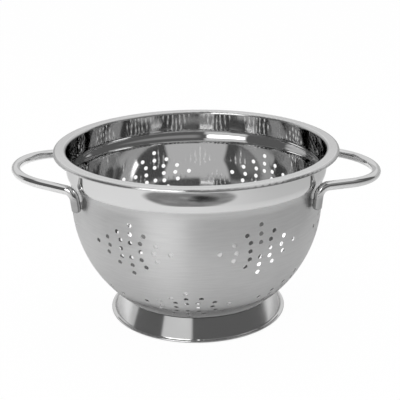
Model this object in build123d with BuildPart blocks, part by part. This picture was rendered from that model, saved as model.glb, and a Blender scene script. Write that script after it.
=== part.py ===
from build123d import *
from math import asin, atan2, cos, degrees, radians, sin, sqrt, tan
import os

# Stainless colander: one pressed bowl, a spun foot ring and two bent rod handles,
# all held together by resistance welds.
# Millimetres, +Z up. The origin is on the table, under the middle of the bowl.
# The handles lie along X, and -Y is the front. Angles run counter-clockwise from +X.

os.makedirs("parts", exist_ok=True)

# Bowl, pressed from one sheet: flat base, ball-shaped wall, step, straight band, and a
# flat rim whose edge is hemmed and turned down to a short lip
total_height = 160.5
rim_radius = 130.3
rim_width = 11
shoulder_step = 3.5
base_height = 5
bowl_sheet = 0.6
base_blend = 25
shoulder_blend_share = 0.45
rim_blend = 1.8
rim_hem_width = 4
rim_hem_thickness = 1.2
rim_lip_depth = 3
rim_edge_share = 0.75
rim_lip_round_share = 0.28

# The base's depth and the groups' depths below the ball's centre are shares of its radius.
# Heights on the wall above it are shares of the way up to the rim.
base_depth_share = 0.907
upper_group_depth_share = 0.11
lower_group_depth_share = 0.618
shoulder_foot_share = 0.416
shoulder_top_share = 0.565
leg_end_share = 0.138
handle_share = 0.541

# Drain holes, punched in star-shaped groups: two arms of six holes, twelve more between
hole_diameter = 4.2
group_half_width = 36
group_half_height = 22.6
upper_group_angles = (-62.5, -7.7, 52.7, 112.2, 181.8, 240.8)
lower_group_angles = (-95.9, -32.5, 26, 85, 143.5, 202)
arm_width_shares = (0.27, 0.61, 1)
arm_height_shares = (0.3, 0.64, 1)
petal_shares = ((0.27, 0.34), (0.365, 0.645), (0.67, 0.32))

# Foot ring, spun: hemmed flange on the table, cone, and a lip that lies along the bowl
foot_radius = 83.2
foot_cone_angle = 68
foot_sheet = 0.6
foot_blend = 1.6
foot_flat_width = 0.5
foot_lip_width = 7
foot_hem_width = 2
foot_hem_thickness = 1.8
foot_hem_round = 0.85

# Handles, each one rod: leg, elbow, run, bow, run, elbow, leg
rod_diameter = 8.4
handle_overhang = 35.4
handle_rises = {"left": 5, "right": -3}
handle_facings = {"left": -1, "right": 1}
bow_share = 0.85
elbow_share = 0.43
elbow_offset = 2.2
leg_angle = 29.5
leg_end_round = 2.4

# Welds fill the narrow gap that the pressed pieces are held apart by
seat_gap = 0.3
handle_weld_width = 2.6
handle_weld_length_share = 0.285
handle_weld_lift_share = 0.26
foot_weld_count = 8
foot_weld_diameter = 4

# How far a cutting shape runs past what it cuts
overrun = 3


def ball_drop(radius, ball):
    """How far the wall of a ball lies below the ball's centre, at a radius."""
    return sqrt(ball**2 - radius**2)


def cone_top_radius(radius, height, angle, ball):
    """Where a line that leans inwards from a radius and height meets a ball of the bowl's centre."""
    drop = ball_centre_height - height
    along = radius * cos(radians(angle)) + drop * sin(radians(angle))
    length = along - sqrt(along**2 - radius**2 - drop**2 + ball**2)
    return radius - length * cos(radians(angle))


def save(piece, name):
    piece.part.label = name
    export_step(piece.part, f"parts/{name}.step")


# The bowl is drawn along its outer face and thickened inwards
band_radius = rim_radius - rim_width
ball_radius = band_radius - shoulder_step
ball_centre_height = base_height + base_depth_share * ball_radius
wall_height = total_height - ball_centre_height
shoulder_foot_height = ball_centre_height + shoulder_foot_share * wall_height
shoulder_top_height = ball_centre_height + shoulder_top_share * wall_height
shoulder_rise = shoulder_top_height - shoulder_foot_height
shoulder_slope = sqrt(shoulder_rise**2 + shoulder_step**2)
shoulder_turn = atan2(shoulder_step, shoulder_rise)
shoulder_blend = shoulder_blend_share * shoulder_slope / tan(shoulder_turn / 2)
base_corner_radius = ball_drop(ball_centre_height - base_height, ball_radius)
base_corner_angle = degrees(atan2(ball_centre_height - base_height, base_corner_radius))
rim_underside = total_height - bowl_sheet
hem_inner_radius = rim_radius - rim_hem_width
hem_underside = total_height - rim_hem_thickness
lip_inner_radius = rim_radius - rim_hem_thickness
lip_foot_height = total_height - rim_lip_depth
lip_inner_blend = rim_edge_share * (rim_lip_depth - rim_hem_thickness)
lip_end_blend = rim_lip_round_share * rim_hem_thickness


def draw_bowl_face():
    """The outer face of the bowl, from the axis to the hem of the rim."""
    with BuildLine() as face:
        Line((0, base_height), (base_corner_radius, base_height))
        CenterArc((0, ball_centre_height), ball_radius, -base_corner_angle, base_corner_angle)
        Polyline(
            (ball_radius, ball_centre_height),
            (ball_radius, shoulder_foot_height),
            (band_radius, shoulder_top_height),
            (band_radius, rim_underside),
            (hem_inner_radius, rim_underside),
        )
        for corner, blend in (
            ((base_corner_radius, base_height), base_blend),
            ((ball_radius, shoulder_foot_height), shoulder_blend),
            ((band_radius, shoulder_top_height), shoulder_blend),
            ((band_radius, rim_underside), rim_blend),
        ):
            fillet(face.vertices().sort_by_distance(corner)[0], blend)
    return face.line


def hole_places():
    """Centres of one star-shaped group, about its empty middle."""
    quarter = [(share, 0) for share in arm_width_shares]
    quarter += [(0, share) for share in arm_height_shares]
    quarter += petal_shares
    places = set()
    for across, up in quarter:
        for side in (-1, 1):
            for way in (-1, 1):
                places.add((side * across * group_half_width, way * up * group_half_height))
    return sorted(places)


def group_plane(angle, depth_share):
    """The plane that touches the bowl where a group of holes has its middle."""
    tilt = -asin(depth_share)
    outward = Vector(cos(tilt) * cos(radians(angle)), cos(tilt) * sin(radians(angle)), sin(tilt))
    middle = outward * ball_radius + Vector(0, 0, ball_centre_height)
    level = Vector(-sin(radians(angle)), cos(radians(angle)), 0)
    return Plane(origin=middle, x_dir=level, z_dir=outward)


wall_sag = ball_radius - ball_drop(group_half_width, ball_radius)
punch_reach = wall_sag + bowl_sheet + overrun
group_planes = [Plane.XY.offset(base_height)]
for group_angle in upper_group_angles:
    group_planes.append(group_plane(group_angle, upper_group_depth_share))
for group_angle in lower_group_angles:
    group_planes.append(group_plane(group_angle, lower_group_depth_share))

with BuildPart() as bowl:
    with BuildSketch(Plane.XZ) as bowl_section:
        with BuildLine():
            add(draw_bowl_face())
            offset(amount=bowl_sheet, side=Side.LEFT)
        make_face()
        with BuildLine():
            Polyline(
                (hem_inner_radius, total_height),
                (rim_radius, total_height),
                (rim_radius, lip_foot_height),
                (lip_inner_radius, lip_foot_height),
                (lip_inner_radius, hem_underside),
                (hem_inner_radius, hem_underside),
                close=True,
            )
        make_face()
        for corner, blend in (
            ((rim_radius, total_height), rim_hem_thickness + lip_inner_blend),
            ((lip_inner_radius, hem_underside), lip_inner_blend),
            ((rim_radius, lip_foot_height), lip_end_blend),
            ((lip_inner_radius, lip_foot_height), lip_end_blend),
        ):
            fillet(bowl_section.vertices().sort_by_distance(corner)[0], blend)
    revolve(axis=Axis.Z)
    # a group's holes run parallel, as one punch drives them
    for plane in group_planes:
        with BuildSketch(plane):
            with Locations(*hole_places()):
                Circle(hole_diameter / 2)
        extrude(amount=punch_reach, both=True, mode=Mode.SUBTRACT)
save(bowl, "bowl")

# The foot ring is drawn along its outer face too, and its lip follows the ball
seat_ball = ball_radius + seat_gap
foot_blend_run = foot_blend * tan(radians(foot_cone_angle) / 2)
foot_waist_radius = foot_radius - foot_hem_width - foot_flat_width - foot_blend_run
foot_top_radius = cone_top_radius(foot_waist_radius, foot_sheet, foot_cone_angle, seat_ball)
foot_top_height = ball_centre_height - ball_drop(foot_top_radius, seat_ball)
foot_lip_radius = foot_top_radius - foot_lip_width
foot_lip_height = ball_centre_height - ball_drop(foot_lip_radius, seat_ball)

with BuildPart() as foot_ring:
    with BuildSketch(Plane.XZ) as foot_section:
        with BuildLine() as foot_face:
            Polyline(
                (foot_radius - foot_hem_width, foot_sheet),
                (foot_waist_radius, foot_sheet),
                (foot_top_radius, foot_top_height),
            )
            RadiusArc((foot_top_radius, foot_top_height), (foot_lip_radius, foot_lip_height), seat_ball)
            waist = foot_face.vertices().sort_by_distance((foot_waist_radius, foot_sheet))[0]
            fillet(waist, foot_blend)
            offset(amount=foot_sheet, side=Side.LEFT)
        make_face()
        with BuildLine():
            Polyline(
                (foot_radius - foot_hem_width, 0),
                (foot_radius, 0),
                (foot_radius, foot_hem_thickness),
                (foot_radius - foot_hem_width, foot_hem_thickness),
                close=True,
            )
        make_face()
        fillet(foot_section.vertices().group_by(Axis.X)[-1], foot_hem_round)
    revolve(axis=Axis.Z)
save(foot_ring, "foot_ring")

foot_weld_radius = foot_top_radius - foot_lip_width / 2
foot_weld_tilt = degrees(asin(foot_weld_radius / seat_ball))

with BuildPart() as foot_ring_welds:
    with PolarLocations(0, foot_weld_count):
        with Locations(Location((0, 0, ball_centre_height), (0, -foot_weld_tilt, 0))):
            with Locations((0, 0, -seat_ball)):
                Cylinder(foot_weld_diameter / 2, overrun)
    with BuildSketch(Plane.XZ):
        with BuildLine():
            RadiusArc((foot_top_radius, foot_top_height), (foot_lip_radius, foot_lip_height), seat_ball)
            offset(amount=seat_gap, side=Side.RIGHT)
        make_face()
    revolve(axis=Axis.Z, mode=Mode.INTERSECT)
save(foot_ring_welds, "foot_ring_welds")

# Each handle's rod stands off the wall at its elbows and closes on it down its legs
handle_height = ball_centre_height + handle_share * wall_height
leg_end_height = ball_centre_height + leg_end_share * wall_height
leg_length = handle_height - leg_end_height
elbow_radius = elbow_share * leg_length
leg_end_radius = ball_radius + seat_gap + rod_diameter / 2
leg_end_x = leg_end_radius * cos(radians(leg_angle))
leg_end_y = leg_end_radius * sin(radians(leg_angle))
elbow_x = (leg_end_radius + elbow_offset) * cos(radians(leg_angle))
elbow_y = (leg_end_radius + elbow_offset) * sin(radians(leg_angle))

# The straight runs touch the bow's circle, and would meet at the apex
bow_radius = bow_share * elbow_y
bow_centre_x = rim_radius + handle_overhang - bow_radius
elbow_to_bow = sqrt((bow_centre_x - elbow_x) ** 2 + elbow_y**2)
run_splay = atan2(elbow_y, bow_centre_x - elbow_x) - asin(bow_radius / elbow_to_bow)
apex_x = bow_centre_x + bow_radius / sin(run_splay)

handle_weld_length = handle_weld_length_share * leg_length
handle_weld_lift = handle_weld_lift_share * leg_length

for side, facing in handle_facings.items():
    slope = tan(radians(handle_rises[side]))
    elbow_height = handle_height + slope * (elbow_x - band_radius)
    apex_height = handle_height + slope * (apex_x - band_radius)
    with BuildPart() as handle:
        with BuildLine() as rod_path:
            FilletPolyline(
                (facing * leg_end_x, -leg_end_y, leg_end_height),
                (facing * elbow_x, -elbow_y, elbow_height),
                (facing * apex_x, 0, apex_height),
                (facing * elbow_x, elbow_y, elbow_height),
                (facing * leg_end_x, leg_end_y, leg_end_height),
                radius=[elbow_radius, bow_radius, elbow_radius],
            )
        with BuildSketch(Plane(origin=rod_path.line @ 0, z_dir=rod_path.line % 0)):
            Circle(rod_diameter / 2)
        sweep()
        leg_ends = handle.faces().filter_by(GeomType.PLANE).edges()
        fillet(leg_ends, leg_end_round)
    save(handle, f"handle_{side}")

    with BuildPart() as handle_welds:
        for way in (-1, 1):
            outward = Vector(facing * cos(radians(leg_angle)), way * sin(radians(leg_angle)), 0)
            seat = outward * ball_radius + Vector(0, 0, leg_end_height + handle_weld_lift)
            with Locations(Plane(origin=seat, x_dir=outward, z_dir=(0, 0, 1))):
                Box(rod_diameter, handle_weld_width, handle_weld_length)
        Cylinder(ball_radius, total_height, align=(Align.CENTER, Align.CENTER, Align.MIN), mode=Mode.SUBTRACT)
        add(handle.part, mode=Mode.SUBTRACT)
    save(handle_welds, f"handle_{side}_welds")
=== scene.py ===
# %% [markdown]
# A colander is a bowl that lets water through. This one is stainless steel: one pressed bowl
# with star-shaped groups of holes, a spun ring for a foot, and two bent rods for handles.
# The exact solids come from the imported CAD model. Blender gives them their finishes, the
# studio round them and the camera.

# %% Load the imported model
import math

import bpy
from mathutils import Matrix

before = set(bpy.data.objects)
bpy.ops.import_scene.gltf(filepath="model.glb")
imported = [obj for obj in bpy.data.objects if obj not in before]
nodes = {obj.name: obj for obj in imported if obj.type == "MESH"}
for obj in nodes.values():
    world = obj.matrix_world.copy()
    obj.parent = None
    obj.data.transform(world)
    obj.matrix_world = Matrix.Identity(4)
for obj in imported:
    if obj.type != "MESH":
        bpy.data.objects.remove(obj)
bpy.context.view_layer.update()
bpy.ops.object.select_all(action="DESELECT")


def in_millimetres(*lengths):
    return [round(1000 * length, 1) for length in lengths]


print("pieces:", sorted(nodes))

# %% [markdown]
# Steel shows little of its own. Nearly all that the eye sees in it is the room, so the camera
# and the studio come first, and the finishes are judged under them. The camera looks down at
# about 20 degrees from in front, through a long lens. The lens and the sensor are in
# millimetres, as on a real camera, and all other lengths are in metres.

# %% Camera
CAMERA_PLACE = (0, -0.83377, 0.40163)
CAMERA_TURNS = (70.4625, 0.6, -0.42)
SENSOR_WIDTH = 36
LENS = 85.1

camera_data = bpy.data.cameras.new("camera")
camera_data.sensor_width = SENSOR_WIDTH
camera_data.lens = LENS
camera = bpy.data.objects.new("camera", camera_data)
camera.location = CAMERA_PLACE
camera.rotation_euler = [math.radians(turn) for turn in CAMERA_TURNS]
bpy.context.scene.collection.objects.link(camera)
bpy.context.scene.camera = camera
bpy.context.scene.view_settings.view_transform = "Standard"
print("camera is", round(camera.location.length, 3), "m from the foot")

# %% [markdown]
# Materials and the world are trees of nodes. A few small helpers keep them short to write.
# These add a node, feed its sockets, and do one step of arithmetic on sockets or plain
# numbers.


# %% Helpers for nodes
def add_node(tree, kind, **options):
    """Adds a node and sets its options."""
    node = tree.nodes.new(kind)
    for name, value in options.items():
        setattr(node, name, value)
    return node


def feed(tree, socket, value):
    """Gives a socket a plain value, or links another socket to it."""
    if isinstance(value, bpy.types.NodeSocket):
        tree.links.new(value, socket)
    else:
        socket.default_value = value


def calc(tree, operation, *values):
    """One step of arithmetic."""
    node = add_node(tree, "ShaderNodeMath", operation=operation)
    for socket, value in zip(node.inputs, values):
        feed(tree, socket, value)
    return node.outputs[0]


def vary(tree, start, pattern, share):
    """A start value, plus a share of a pattern."""
    return calc(tree, "MULTIPLY_ADD", pattern, share, start)


def fade(tree, value, start, end, low=0.0, high=1.0):
    """Goes smoothly from low to high while value goes from start to end."""
    node = add_node(tree, "ShaderNodeMapRange", interpolation_type="SMOOTHSTEP")
    settings = {"Value": value, "From Min": start, "From Max": end, "To Min": low, "To Max": high}
    for name, setting in settings.items():
        feed(tree, node.inputs[name], setting)
    return node.outputs["Result"]


def mix(tree, factor, a, b):
    """The number a where the factor is 0, and b where it is 1."""
    node = add_node(tree, "ShaderNodeMix", data_type="FLOAT")
    for name, value in (("Factor", factor), ("A", a), ("B", b)):
        feed(tree, node.inputs[name], value)
    return node.outputs["Result"]


def noise(tree, where, scale, detail):
    """A cloudy pattern from 0 to 1. More detail adds finer clouds to it."""
    node = add_node(tree, "ShaderNodeTexNoise")
    node.inputs["Detail"].default_value = detail
    feed(tree, node.inputs["Scale"], scale)
    tree.links.new(where, node.inputs["Vector"])
    return node.outputs["Fac"]


print("helpers for nodes ready")

# %% [markdown]
# A pattern follows a turned piece when it is written by the distance from the axis and the
# direction round it. These helpers find both from the place that a ray meets.


# %% Helpers for places
def here(tree, kind="Object"):
    """The place on the object that a ray meets, or in the world the way that it goes."""
    return add_node(tree, "ShaderNodeTexCoord").outputs[kind]


def split(tree, vector):
    """The three numbers of a vector, as sockets by axis."""
    node = add_node(tree, "ShaderNodeSeparateXYZ")
    tree.links.new(vector, node.inputs[0])
    return node.outputs


def join(tree, x, y, z):
    """A vector from its three numbers."""
    node = add_node(tree, "ShaderNodeCombineXYZ")
    for socket, value in zip(node.inputs, (x, y, z)):
        feed(tree, socket, value)
    return node.outputs[0]


def length_of(tree, *parts):
    """The length of a vector, from its parts."""
    total = 0
    for part in parts:
        total = calc(tree, "ADD", total, calc(tree, "MULTIPLY", part, part))
    return calc(tree, "SQRT", total)


def bearing_of(tree, place):
    """Degrees round the axis from the camera's side, positive to its right."""
    to_front = calc(tree, "MULTIPLY", place["Y"], -1)
    return calc(tree, "DEGREES", calc(tree, "ARCTAN2", place["X"], to_front))


def outward(tree, place, radius, length):
    """The X and Y of an arrow of that length, which points away from the axis."""
    return [
        calc(tree, "MULTIPLY", calc(tree, "DIVIDE", place[axis], radius), length)
        for axis in "XY"
    ]


print("helpers for places ready")

# %% [markdown]
# An effect that more than one finish uses is a node group: it is built once, with named inputs
# and outputs, and placed in each finish with that finish's own values. The last two helpers
# begin and end a material.


# %% Helpers for groups and materials
def new_group(name, inputs, outputs):
    """An empty node group. Its sockets are numbers, apart from an output named Normal."""
    group = bpy.data.node_groups.new(name, "ShaderNodeTree")
    for label, value in inputs.items():
        socket = group.interface.new_socket(label, in_out="INPUT", socket_type="NodeSocketFloat")
        socket.default_value = value
    for label in outputs:
        kind = "NodeSocketVector" if label == "Normal" else "NodeSocketFloat"
        group.interface.new_socket(label, in_out="OUTPUT", socket_type=kind)
    given = add_node(group, "NodeGroupInput").outputs
    made = add_node(group, "NodeGroupOutput").inputs
    return group, given, made


def use_group(tree, group, **values):
    """Places a group in a tree. A value's name has _ where the input's name has a space."""
    node = add_node(tree, "ShaderNodeGroup", node_tree=group)
    for name, value in values.items():
        feed(tree, node.inputs[name.replace("_", " ")], value)
    return node.outputs


def new_material(name):
    """A material with an empty tree."""
    material = bpy.data.materials.new(name)
    material.use_nodes = True
    material.node_tree.nodes.clear()
    return material, material.node_tree


def end_tree(tree, shader, kind="ShaderNodeOutputMaterial"):
    """Links the last shader to the output."""
    tree.links.new(shader.outputs[0], add_node(tree, kind).inputs["Surface"])


print("helpers for groups and materials ready")

# %% [markdown]
# The studio is a dim room with a white table, lit walls behind the colander, a bright ceiling
# behind it and one soft box in front, to the left of the camera. Polished steel mirrors all
# of it. It could be built from lamps and boards, but these would stand in the way of other
# views, so the room is written as directions: a panel is a soft-edged patch of the world,
# about a bearing and a height. Bearings count from the camera's side, positive to its right.

# %% Group: a panel of the studio
HALF_TURN = 180

panel, given, made = new_group(
    "studio_panel",
    {"Bearing": 0, "Half Width": 20, "Height": 20, "Half Height": 20, "Softness": 2},
    ["Mask"],
)
aim = split(panel, here(panel, "Generated"))
aside = calc(panel, "SUBTRACT", bearing_of(panel, aim), given["Bearing"])
aside = calc(panel, "WRAP", aside, HALF_TURN, -HALF_TURN)
height = calc(panel, "DEGREES", calc(panel, "ARCSINE", aim["Z"]))
above = calc(panel, "SUBTRACT", height, given["Height"])
edge_begins = calc(panel, "MULTIPLY", given["Softness"], -1)
mask = 1
for distance, half in ((aside, given["Half Width"]), (above, given["Half Height"])):
    inside = calc(panel, "SUBTRACT", half, calc(panel, "ABSOLUTE", distance))
    mask = calc(panel, "MULTIPLY", mask, fade(panel, inside, edge_begins, given["Softness"]))
panel.links.new(mask, made["Mask"])
print("studio_panel has", len(panel.nodes), "nodes")

# %% [markdown]
# The panels are few and large, as in a real product studio: a wall and a low white sweep
# behind, more of the sweep at the left, the ceiling behind and at the right, its lamps, the
# soft box on its stand, and a faint glow of the room in front. Where two overlap, the
# brighter one shows. The camera itself sees plain white behind the table.

# %% The world
ROOM_LEVEL = 0.12
BACKDROP = 1
PANELS = {
    # bearing, half width, height, half height and softness in degrees, and the brightness
    "wall behind": (180, 64, 35, 22, 5, 0.78),
    "sweep behind": (180, 64, 5, 13, 5, 0.55),
    "sweep at the left": (-118, 24, 8, 12, 4, 0.55),
    "ceiling behind": (180, 116, 76, 22, 6, 0.85),
    "lamps above": (180, 100, 80, 6, 4, 1.3),
    "ceiling at the right": (100, 28, 54, 6, 3, 0.85),
    "room in front": (45, 50, 38, 14, 8, 0.3),
    "soft box": (-31, 19, 38, 13, 3, 3.4),
    "stand of the soft box": (-29, 21, 12, 12, 3, 0.68),
}

world = bpy.data.worlds.new("studio")
bpy.context.scene.world = world
world.use_nodes = True
studio = world.node_tree
studio.nodes.clear()
level = ROOM_LEVEL
for bearing, half_width, height, half_height, softness, brightness in PANELS.values():
    lit = use_group(
        studio,
        panel,
        Bearing=bearing,
        Half_Width=half_width,
        Height=height,
        Half_Height=half_height,
        Softness=softness,
    )["Mask"]
    level = calc(studio, "MAXIMUM", level, calc(studio, "MULTIPLY", lit, brightness))
seen = add_node(studio, "ShaderNodeLightPath").outputs["Is Camera Ray"]
background = add_node(studio, "ShaderNodeBackground")
studio.links.new(mix(studio, seen, level, BACKDROP), background.inputs["Color"])
end_tree(studio, background, "ShaderNodeOutputWorld")
print("world has", len(PANELS), "panels")

# %% [markdown]
# The table is white and larger than the view. A plain square is enough, because nothing of it
# shows but its colour and the colander's shadow.

# %% Table
TABLE_SIZE = 6

bpy.ops.mesh.primitive_plane_add(size=TABLE_SIZE, location=(0, 0, 0))
table = bpy.context.object
table.name = "table"
table_finish, tree = new_material("white_table")
table.data.materials.append(table_finish)
print("table is", round(table.dimensions.x, 2), "m wide")

# %% [markdown]
# In front, past the edge of the picture, the camera and its stand shade a long curved patch of
# the table, and the polished band of the bowl mirrors that patch. It could be a real screen
# held over the table, but a patch written by its distance from the bowl's axis and its
# bearing is easier to place. It is darkest in a smaller patch near its middle, and faint
# streaks run along it. The table also falls off in brightness to the right, away from the
# soft box.

# %% Shade on the table
SHADE_RADIUS = 0.540
SHADE_HALF_RADIUS = 0.036
SHADES = (
    # bearing and half width in degrees, where its edge begins as a share, darkness
    (-5, 39, 0.8, 0.74),
    (5, 28, 0.2, 0.98),
)
STREAKS_PER_DEGREE = 0.06
STREAKS_PER_METRE = 90
STREAK_DETAIL = 2
STREAK_LOW = 0.3
STREAK_HIGH = 0.6
STREAK_SHADE = 0.8
FALL_OFF_START = -0.1
FALL_OFF_END = 0.7
FALL_OFF_DARKNESS = 0.36

place = split(tree, here(tree))
distance = length_of(tree, place["X"], place["Y"])
bearing = bearing_of(tree, place)
across = calc(tree, "DIVIDE", calc(tree, "SUBTRACT", distance, SHADE_RADIUS), SHADE_HALF_RADIUS)
shade = 0
for middle, half_width, edge_share, darkness in SHADES:
    aside = calc(tree, "DIVIDE", calc(tree, "SUBTRACT", bearing, middle), half_width)
    patch = fade(tree, length_of(tree, across, aside), edge_share, 1.0, darkness, 0.0)
    shade = calc(tree, "MAXIMUM", shade, patch)
streak_place = join(
    tree,
    calc(tree, "MULTIPLY", bearing, STREAKS_PER_DEGREE),
    calc(tree, "MULTIPLY", distance, STREAKS_PER_METRE),
    0,
)
streaks = noise(tree, streak_place, 1, STREAK_DETAIL)
streaks = fade(tree, streaks, STREAK_LOW, STREAK_HIGH, STREAK_SHADE, 1.0)
fall_off = fade(tree, place["X"], FALL_OFF_START, FALL_OFF_END, 0.0, FALL_OFF_DARKNESS)
shade = calc(tree, "MAXIMUM", calc(tree, "MULTIPLY", shade, streaks), fall_off)
print("patches of shade:", len(SHADES))

# %% [markdown]
# The table is part lit by the lamps and part bright by itself, so that it is as white as the
# backdrop and still keeps a faint shadow. Light Path tells who looks: the camera sees it
# nearly all bright by itself, and the steel sees it mostly lit, and with its shade.

# %% White of the table
TABLE_WHITE = 0.9
TABLE_GLOW = 0.98
MIRRORED_GLOW = 0.15

rays = add_node(tree, "ShaderNodeLightPath").outputs
bright = calc(tree, "SUBTRACT", 1, calc(tree, "MULTIPLY", shade, rays["Is Glossy Ray"]))
paper = add_node(tree, "ShaderNodeBsdfDiffuse")
tree.links.new(calc(tree, "MULTIPLY", bright, TABLE_WHITE), paper.inputs["Color"])
glow = add_node(tree, "ShaderNodeEmission")
tree.links.new(bright, glow.inputs["Strength"])
direct = calc(tree, "MULTIPLY", rays["Is Camera Ray"], TABLE_GLOW)
mirrored = calc(tree, "MULTIPLY", rays["Is Glossy Ray"], MIRRORED_GLOW)
blend = add_node(tree, "ShaderNodeMixShader")
tree.links.new(calc(tree, "MAXIMUM", direct, mirrored), blend.inputs["Fac"])
tree.links.new(paper.outputs[0], blend.inputs[1])
tree.links.new(glow.outputs[0], blend.inputs[2])
end_tree(tree, blend)
print("white_table has", len(tree.nodes), "nodes")

# %% [markdown]
# One large lamp overhead gives the table its light, and the soft shadow under the bowl. Steel
# doesn't mirror it, because the ceiling in the world is already there for that.

# %% Soft lamp overhead
LAMP_SIZE = 1.6
LAMP_HEIGHT = 1.6
LAMP_WATTS = 15

lamp_data = bpy.data.lights.new("overhead", "AREA")
lamp_data.shape = "SQUARE"
lamp_data.size = LAMP_SIZE
lamp_data.energy = LAMP_WATTS
lamp = bpy.data.objects.new("overhead", lamp_data)
lamp.location = (0, 0, LAMP_HEIGHT)
bpy.context.scene.collection.objects.link(lamp)
lamp.visible_glossy = False
print("lamp gives", lamp_data.energy, "watts")

# %% [markdown]
# A brushed finish on a spun bowl is a pack of fine scratches that run round the axis. They
# blur reflections up and down and hardly sideways. The lines come from noise that changes
# fast along the wall and slowly round it. Taking the direction from the axis instead of the
# angle keeps it free of a seam. The bands are the same noise, five times as coarse.

# %% Group: lines turned round the axis
AXIS_CORE = 0.001
BAND_SHARE = 0.2
LINE_DETAIL = 3

turned, given, made = new_group(
    "turned_lines",
    {"Lines per Metre": 2500, "Breaks": 4},
    ["Lines", "Bands"],
)
place = split(turned, here(turned))
radius = calc(turned, "MAXIMUM", length_of(turned, place["X"], place["Y"]), AXIS_CORE)
along = calc(turned, "ADD", radius, place["Z"])
around = outward(turned, place, radius, given["Breaks"])
for output, share in (("Lines", 1), ("Bands", BAND_SHARE)):
    fineness = calc(turned, "MULTIPLY", given["Lines per Metre"], share)
    where = join(turned, calc(turned, "MULTIPLY", along, fineness), *around)
    turned.links.new(noise(turned, where, 1, LINE_DETAIL), made[output])
print("turned_lines has", len(turned.nodes), "nodes")

# %% [markdown]
# Polished steel is never perfect: cloths leave faint smudges and hair scratches. This group
# gives both, as a slow mottle and a fine one that is squeezed into thin streaks.

# %% Group: wear on polish
HAIR_TURN = (0.5, 0.9, 0.3)
HAIR_STRETCH = (1, 14, 1)
HAIR_FINENESS = 6
HAIR_DETAIL = 5
SMUDGE_DETAIL = 4

wear, given, made = new_group("polish_wear", {"Size": 40}, ["Smudge", "Hair"])
place = here(wear)
stretch = add_node(wear, "ShaderNodeMapping")
stretch.inputs["Rotation"].default_value = HAIR_TURN
stretch.inputs["Scale"].default_value = HAIR_STRETCH
wear.links.new(place, stretch.inputs["Vector"])
hair_size = calc(wear, "MULTIPLY", given["Size"], HAIR_FINENESS)
wear.links.new(noise(wear, place, given["Size"], SMUDGE_DETAIL), made["Smudge"])
wear.links.new(noise(wear, stretch.outputs[0], hair_size, HAIR_DETAIL), made["Hair"])
print("polish_wear has", len(wear.nodes), "nodes")

# %% [markdown]
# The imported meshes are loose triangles, and round the holes their corners lean a little, so a
# mirror finish on them would look dented. The pressed sheet is a turned shape, though: its
# direction at any place is known, and a group can work it out. A direction is a vector of
# length 1, and these helpers do the sums with it.


# %% Helpers for directions
def dot(tree, a, b):
    """How far two directions agree: 1 is the same way, 0 across and -1 against."""
    node = add_node(tree, "ShaderNodeVectorMath", operation="DOT_PRODUCT")
    tree.links.new(a, node.inputs[0])
    tree.links.new(b, node.inputs[1])
    return node.outputs["Value"]


def reverse(tree, vector):
    node = add_node(tree, "ShaderNodeVectorMath", operation="SCALE")
    tree.links.new(vector, node.inputs[0])
    node.inputs["Scale"].default_value = -1
    return node.outputs[0]


def choose(tree, factor, first, second):
    """The first of two directions where the factor is 0, and the second where it is 1."""
    node = add_node(tree, "ShaderNodeMix", data_type="VECTOR")
    tree.links.new(factor, node.inputs["Factor"])
    sockets = {socket.identifier: socket for socket in (*node.inputs, *node.outputs)}
    tree.links.new(first, sockets["A_Vector"])
    tree.links.new(second, sockets["B_Vector"])
    return sockets["Result_Vector"]


def turned_normal(tree, place, radius, rise):
    """The outward direction of a turned shape, from how much it looks up."""
    level = calc(tree, "SQRT", calc(tree, "SUBTRACT", 1, calc(tree, "MULTIPLY", rise, rise)))
    return join(tree, *outward(tree, place, radius, level), rise)


print("helpers for directions ready")

# %% [markdown]
# The bowl is a ball that flattens into a dish at the base and has one soft step below its
# band. How much the sheet looks up at a height follows from the centres and radii of these
# arcs. The outer face and the inner one have radii that differ by the sheet's thickness.


# %% The bowl's arcs
BALL_HEIGHT = 0.11003
BALL_RADIUS = 0.1158
SHEET = 0.0006
BASE_BLEND_HEIGHT = 0.03
BASE_BLEND = 0.025
STEP_LOW = 0.12727
STEP_HIGH = 0.14227
STEP_BLEND = 0.0169
STEP_SINE = 0.421


def sheet_rise(tree, height, depth):
    """How much the outward direction looks up, on the face that lies at a depth in the sheet."""
    over_ball = calc(tree, "SUBTRACT", height, BALL_HEIGHT)
    over_dish = calc(tree, "SUBTRACT", height, BASE_BLEND_HEIGHT)
    ball = calc(tree, "DIVIDE", over_ball, BALL_RADIUS - depth)
    dish = calc(tree, "DIVIDE", over_dish, BASE_BLEND - depth)
    lower = calc(tree, "MINIMUM", calc(tree, "MINIMUM", ball, dish), 0)
    lower = calc(tree, "MAXIMUM", lower, -1)
    from_low = calc(tree, "SUBTRACT", height, STEP_LOW)
    from_high = calc(tree, "SUBTRACT", STEP_HIGH, height)
    step = calc(tree, "DIVIDE", calc(tree, "MINIMUM", from_low, from_high), STEP_BLEND)
    step = calc(tree, "MINIMUM", calc(tree, "MAXIMUM", step, 0), STEP_SINE)
    return calc(tree, "SUBTRACT", lower, step)


print("ball across in mm:", in_millimetres(2 * BALL_RADIUS))

# %% [markdown]
# The group gives this true direction wherever the mesh agrees with it. A surface that isn't
# the sheet itself, such as the wall of a hole or the rim's edge, keeps its own direction, and
# the flat of the rim is kept flat. The group also tells the outside from the inside.

# %% Group: the true direction of the bowl's sheet
SHEET_TOP = 0.158
LEAST_AGREEMENT = 0.5
RIM_FLAT = 0.995
LEAST_RADIUS = 1e-6

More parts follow.
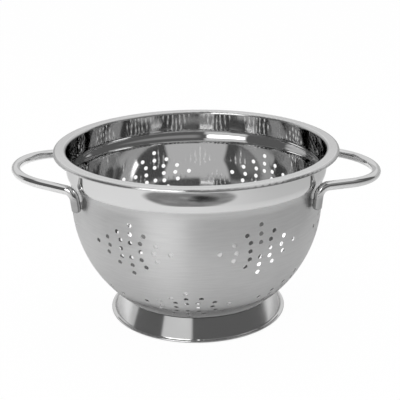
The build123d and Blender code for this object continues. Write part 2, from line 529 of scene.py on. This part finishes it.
sheet, given, made = new_group("pressed_sheet", {}, ["Normal", "Outside"])
place = split(sheet, here(sheet))
mesh = add_node(sheet, "ShaderNodeNewGeometry").outputs
radius = calc(sheet, "MAXIMUM", length_of(sheet, place["X"], place["Y"]), LEAST_RADIUS)
outer = turned_normal(sheet, place, radius, sheet_rise(sheet, place["Z"], 0))
inner = turned_normal(sheet, place, radius, sheet_rise(sheet, place["Z"], SHEET))
facing = dot(sheet, outer, mesh["True Normal"])
outside = calc(sheet, "GREATER_THAN", facing, 0)
true_way = choose(sheet, outside, reverse(sheet, inner), outer)
agrees = calc(sheet, "GREATER_THAN", calc(sheet, "ABSOLUTE", facing), LEAST_AGREEMENT)
below_rim = calc(sheet, "LESS_THAN", place["Z"], SHEET_TOP)
on_sheet = calc(sheet, "MULTIPLY", below_rim, agrees)
looks_up = calc(sheet, "ABSOLUTE", split(sheet, mesh["True Normal"])["Z"])
flat = calc(sheet, "GREATER_THAN", looks_up, RIM_FLAT)
own_way = choose(sheet, flat, mesh["Normal"], mesh["True Normal"])
sheet.links.new(choose(sheet, on_sheet, own_way, true_way), made["Normal"])
sheet.links.new(outside, made["Outside"])
print("pressed_sheet has", len(sheet.nodes), "nodes")

# %% [markdown]
# All four finishes are plain steel: a metal of a light grey, whose roughness tells polish from
# satin. A brushed finish has a grain as well, which the shader calls anisotropy, and the grain
# follows the turning of the piece.


# %% Helpers for steel
QUARTER_TURN = 0.25


def new_steel(name, anisotropy=0.0):
    """A metal. With anisotropy, its grain runs round the Z axis."""
    material, tree = new_material(name)
    shader = add_node(tree, "ShaderNodeBsdfPrincipled")
    shader.inputs["Metallic"].default_value = 1
    if anisotropy:
        shader.inputs["Anisotropic"].default_value = anisotropy
        shader.inputs["Anisotropic Rotation"].default_value = QUARTER_TURN
        grain = add_node(tree, "ShaderNodeTangent", direction_type="RADIAL", axis="Z")
        tree.links.new(grain.outputs[0], shader.inputs["Tangent"])
    end_tree(tree, shader)
    return material, tree, shader


def paint(tree, shader, brightness):
    """Gives steel a neutral colour whose brightness changes over the surface."""
    node = add_node(tree, "ShaderNodeCombineColor")
    for socket in node.inputs:
        feed(tree, socket, brightness)
    tree.links.new(node.outputs[0], shader.inputs["Base Color"])


def bump(tree, shader, height, depth, normal=None):
    """Lets a pattern tilt the light as if it were cut to a depth in metres."""
    node = add_node(tree, "ShaderNodeBump")
    node.inputs["Strength"].default_value = 1
    node.inputs["Distance"].default_value = depth
    tree.links.new(height, node.inputs["Height"])
    if normal:
        tree.links.new(normal, node.inputs["Normal"])
    tree.links.new(node.outputs[0], shader.inputs["Normal"])


print("helpers for steel ready")

# %% [markdown]
# The bowl has three finishes on one sheet. Its lower outside is brushed satin, the flat top of
# the rim is a fine satin too, and the rest is polished: the inside, the straight band under
# the rim, and a little less finely the rim's rounded edge and lip. Close to the foot, where
# the ring was welded on and cleaned up, the satin is buffed nearly to a mirror. Where each
# finish is comes from the place on the bowl and from which way the sheet faces.

# %% Where the bowl's finishes are
BRUSH_TOP = 0.136
BRUSH_FADE = 0.001
BUFFED_AND_SHADED_TOP = 0.027
BUFFED_AND_SHADED_FADE = 0.014
RIM_TOP = 0.1604

bowl_finish, tree, shader = new_steel("bowl_steel", anisotropy=0.9)
height = split(tree, here(tree))["Z"]
pressed = use_group(tree, sheet)
below = fade(tree, height, BRUSH_TOP - BRUSH_FADE, BRUSH_TOP + BRUSH_FADE, 1.0, 0.0)
wall = calc(tree, "MULTIPLY", pressed["Outside"], below)
# close to the foot the satin is buffed, and its colour also gets a painted shade there
near_foot = fade(tree, height, BUFFED_AND_SHADED_TOP, BUFFED_AND_SHADED_TOP + BUFFED_AND_SHADED_FADE, 1.0, 0.0)
on_edge = calc(tree, "GREATER_THAN", height, SHEET_TOP)
rim = calc(tree, "GREATER_THAN", height, RIM_TOP)
brushed = calc(tree, "MAXIMUM", wall, rim)
print("satin outside up to, in mm:", in_millimetres(BRUSH_TOP))

# %% [markdown]
# Roughness is what parts satin from polish. It is written once for each finish, a little is
# added by the brushed lines or the smudges, and the masks choose between the finishes.

# %% How rough the bowl is
INSIDE_ROUGHNESS = 0.03
BAND_ROUGHNESS = 0.0
EDGE_ROUGHNESS = 0.22
SMUDGE_ROUGHNESS = 0.04
SATIN_ROUGHNESS = 0.36
BUFFED_ROUGHNESS = 0.08
SATIN_LINES = 0.12
RIM_ROUGHNESS = 0.2
RIM_LINES = 0.08

lines = use_group(tree, turned, Lines_per_Metre=2500, Breaks=5)
marks = use_group(tree, wear, Size=40)
polish = mix(tree, pressed["Outside"], INSIDE_ROUGHNESS, BAND_ROUGHNESS)
polish = mix(tree, on_edge, polish, EDGE_ROUGHNESS)
polish = vary(tree, polish, marks["Smudge"], SMUDGE_ROUGHNESS)
satin = mix(tree, near_foot, SATIN_ROUGHNESS, BUFFED_ROUGHNESS)
satin = vary(tree, satin, lines["Lines"], SATIN_LINES)
fine_satin = vary(tree, RIM_ROUGHNESS, lines["Lines"], RIM_LINES)
roughness = mix(tree, rim, mix(tree, wall, polish, satin), fine_satin)
tree.links.new(roughness, shader.inputs["Roughness"])
print("roughness of satin", SATIN_ROUGHNESS, "and of the rim", RIM_ROUGHNESS)

# %% [markdown]
# The satin is a shade darker than the polish. Close to the foot, where it is buffed, it is darker
# still. This is a painted shade, a painted dark reflection that stands for the dark images that a
# real room gives close to the foot. The flat top of the rim is painted lighter than the rest of
# the steel, a painted sheen where it faces up. The bands lighten what they cross, so all of the
# bowl starts a little darker. Metal turns white at a grazing angle, and the specular tint keeps
# that down.

# %% How bright the bowl is
GRAZING_TINT = (0.78, 0.78, 0.78, 1)
POLISH_SHADE = 0.74
SATIN_SHADE = 0.66
# painted shade close to the foot: the share of brightness that the satin loses there
FOOT_PAINTED_SHADE = 0.5
# the flat top of the rim is painted lighter, a painted sheen where it faces up
RIM_PAINTED_LIGHTER = 0.92
BAND_GAIN = 0.12
BAND_START = 0.03
BRUSHED_DEPTH = 0.00002

shader.inputs["Specular Tint"].default_value = GRAZING_TINT
# painted shade: the satin is painted darker close to the foot
share_left_unshaded = vary(tree, 1, near_foot, -FOOT_PAINTED_SHADE)
shaded_satin = calc(tree, "MULTIPLY", SATIN_SHADE, share_left_unshaded)
shade = mix(tree, rim, mix(tree, wall, POLISH_SHADE, shaded_satin), RIM_PAINTED_LIGHTER)
shade = calc(tree, "SUBTRACT", shade, BAND_START)
bands = calc(tree, "MULTIPLY", lines["Bands"], brushed)
paint(tree, shader, vary(tree, shade, bands, BAND_GAIN))
scratches = calc(tree, "MULTIPLY", lines["Lines"], brushed)
bump(tree, shader, scratches, BRUSHED_DEPTH, pressed["Normal"])
print("bowl_steel has", len(tree.nodes), "nodes")

# %% [markdown]
# The foot ring is spun and buffed while it turns, so it mirrors the room through faint rings.
# The bowl's turned lines serve here as well, finer and less deep, so that the mirror stays.

# %% Foot ring finish
FOOT_ROUGHNESS = 0.07
FOOT_LINES = 0.08
FOOT_SHADE = 0.70
FOOT_SMUDGE = 0.05
BUFFED_DEPTH = 0.000004

foot_finish, tree, shader = new_steel("foot_steel", anisotropy=0.8)
lines = use_group(tree, turned, Lines_per_Metre=3000, Breaks=3)
marks = use_group(tree, wear, Size=60)
roughness = vary(tree, FOOT_ROUGHNESS, lines["Lines"], FOOT_LINES)
tree.links.new(roughness, shader.inputs["Roughness"])
paint(tree, shader, vary(tree, FOOT_SHADE, marks["Smudge"], FOOT_SMUDGE))
bump(tree, shader, lines["Lines"], BUFFED_DEPTH)
print("foot_steel has", len(tree.nodes), "nodes")

# %% [markdown]
# The handles are bright drawn rod. Bending and handling leave smudges and hair scratches that
# don't follow the rod. The legs are painted darker: a painted dark reflection that stands for the
# dark images that a real room gives there.

# %% Handle finish
LEG_TOP = 0.138
LEG_FADE = 0.012
ROD_ROUGHNESS = 0.01
ROD_SHADE = 0.74
# painted shade on the legs: a painted dark reflection near the bowl's wall
LEG_PAINTED_SHADE = 0.34
ROD_SMUDGE = 0.06
HAIR_DEPTH = 0.000003

handle_finish, tree, shader = new_steel("handle_steel")
marks = use_group(tree, wear, Size=90)
height = split(tree, here(tree))["Z"]
leg = fade(tree, height, LEG_TOP - LEG_FADE, LEG_TOP, 1.0, 0.0)
roughness = vary(tree, ROD_ROUGHNESS, marks["Smudge"], ROD_SMUDGE)
tree.links.new(roughness, shader.inputs["Roughness"])
# the legs get the painted shade, the rest of the rod its own colour
paint(tree, shader, vary(tree, mix(tree, leg, ROD_SHADE, LEG_PAINTED_SHADE), marks["Smudge"], ROD_SMUDGE))
bump(tree, shader, marks["Hair"], HAIR_DEPTH)
print("handle_steel has", len(tree.nodes), "nodes")

# %% [markdown]
# A resistance weld is left bare: the metal is a little darker, dull and slightly pitted. One
# mottle gives all three, because the welds are small and half hidden.

# %% Weld finish
WELD_ROUGHNESS = 0.35
WELD_DULLNESS = 0.25
WELD_SHADE = 0.42
WELD_SMUDGE = 0.2
PIT_DEPTH = 0.00005

weld_finish, tree, shader = new_steel("weld_steel")
marks = use_group(tree, wear, Size=300)
roughness = vary(tree, WELD_ROUGHNESS, marks["Smudge"], WELD_DULLNESS)
tree.links.new(roughness, shader.inputs["Roughness"])
paint(tree, shader, vary(tree, WELD_SHADE, marks["Smudge"], WELD_SMUDGE))
bump(tree, shader, marks["Smudge"], PIT_DEPTH)
print("weld_steel has", len(tree.nodes), "nodes")

# %% [markdown]
# Every piece of the imported model keeps its shape and gets its finish. One table says which, so
# that pieces that are made alike wear the same one.

# %% Put the finishes on
FINISHES = {
    "bowl": ("bowl", bowl_finish),
    "foot_ring": ("foot_ring", foot_finish),
    "foot_ring_welds": ("weld", weld_finish),
    "handle_left": ("handle", handle_finish),
    "handle_left_welds": ("weld", weld_finish),
    "handle_right": ("handle", handle_finish),
    "handle_right_welds": ("weld", weld_finish),
}
for name, (slot, finish) in FINISHES.items():
    piece = nodes[name]
    piece.data.materials.clear()
    piece.data.materials.append(finish)
    print(name, "wears", finish.name)
